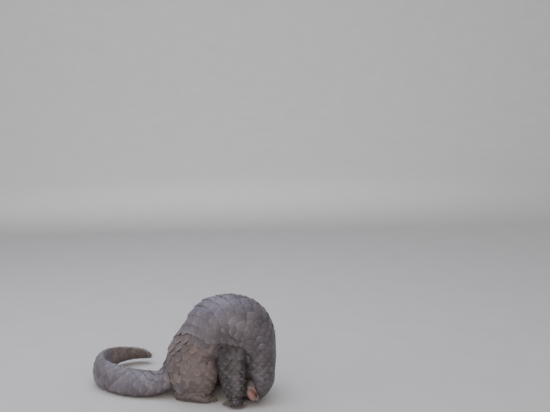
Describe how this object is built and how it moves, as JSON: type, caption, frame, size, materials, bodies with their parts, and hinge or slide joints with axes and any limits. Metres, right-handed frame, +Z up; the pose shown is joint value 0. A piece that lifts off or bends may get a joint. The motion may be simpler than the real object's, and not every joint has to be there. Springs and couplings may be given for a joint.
{
  "type": "pangolin",
  "caption": "Sunda pangolin, life size, sitting hunched in overlapping horny scales, head tucked under, broad tail curled beside it.",
  "frame": {"origin": "on the floor, under the middle of the whole model", "axes": "+X the way the hunched body faces, from tail to shoulders; +Y towards the animal's left; +Z up"},
  "size_m": [0.5399, 0.331, 0.2697],
  "materials": {
    "scale_horn": "horny overlapping scales, satin, grey-brown with paler worn edges",
    "foot_skin": "bare granular skin, matt",
    "ear_skin": "bare pink skin, matt with a slight moist sheen",
    "claw_horn": "worn horn, satin",
    "eye": "wet and glossy"
  },
  "bodies": {
    "root": {"ear_left": "ear_skin", "ear_right": "ear_skin", "eye_left": "eye", "eye_right": "eye", "fore_claw_fourth_left": "claw_horn", "fore_claw_fourth_right": "claw_horn", "fore_claw_inner_left": "claw_horn", "fore_claw_inner_right": "claw_horn", "fore_claw_middle_left": "claw_horn", "fore_claw_middle_right": "claw_horn", "fore_claw_outer_left": "claw_horn", "fore_claw_outer_right": "claw_horn", "fore_claw_second_left": "claw_horn", "fore_claw_second_right": "claw_horn", "fore_foot_left": "foot_skin", "fore_foot_right": "foot_skin", "fore_leg_left": "scale_horn", "fore_leg_right": "scale_horn", "head": "scale_horn", "hind_claw_fourth_left": "claw_horn", "hind_claw_fourth_right": "claw_horn", "hind_claw_inner_left": "claw_horn", "hind_claw_inner_right": "claw_horn", "hind_claw_middle_left": "claw_horn", "hind_claw_middle_right": "claw_horn", "hind_claw_outer_left": "claw_horn", "hind_claw_outer_right": "claw_horn", "hind_claw_second_left": "claw_horn", "hind_claw_second_right": "claw_horn", "hind_foot_left": "foot_skin", "hind_foot_right": "foot_skin", "hind_leg_left": "scale_horn", "hind_leg_right": "scale_horn", "neck": "scale_horn", "tail_base": "scale_horn", "tail_bend": "scale_horn", "tail_far": "scale_horn", "tail_near": "scale_horn", "tail_tip": "scale_horn", "torso_back": "scale_horn", "torso_rump": "scale_horn", "torso_shoulders": "scale_horn"}
  },
  "joints": []
}
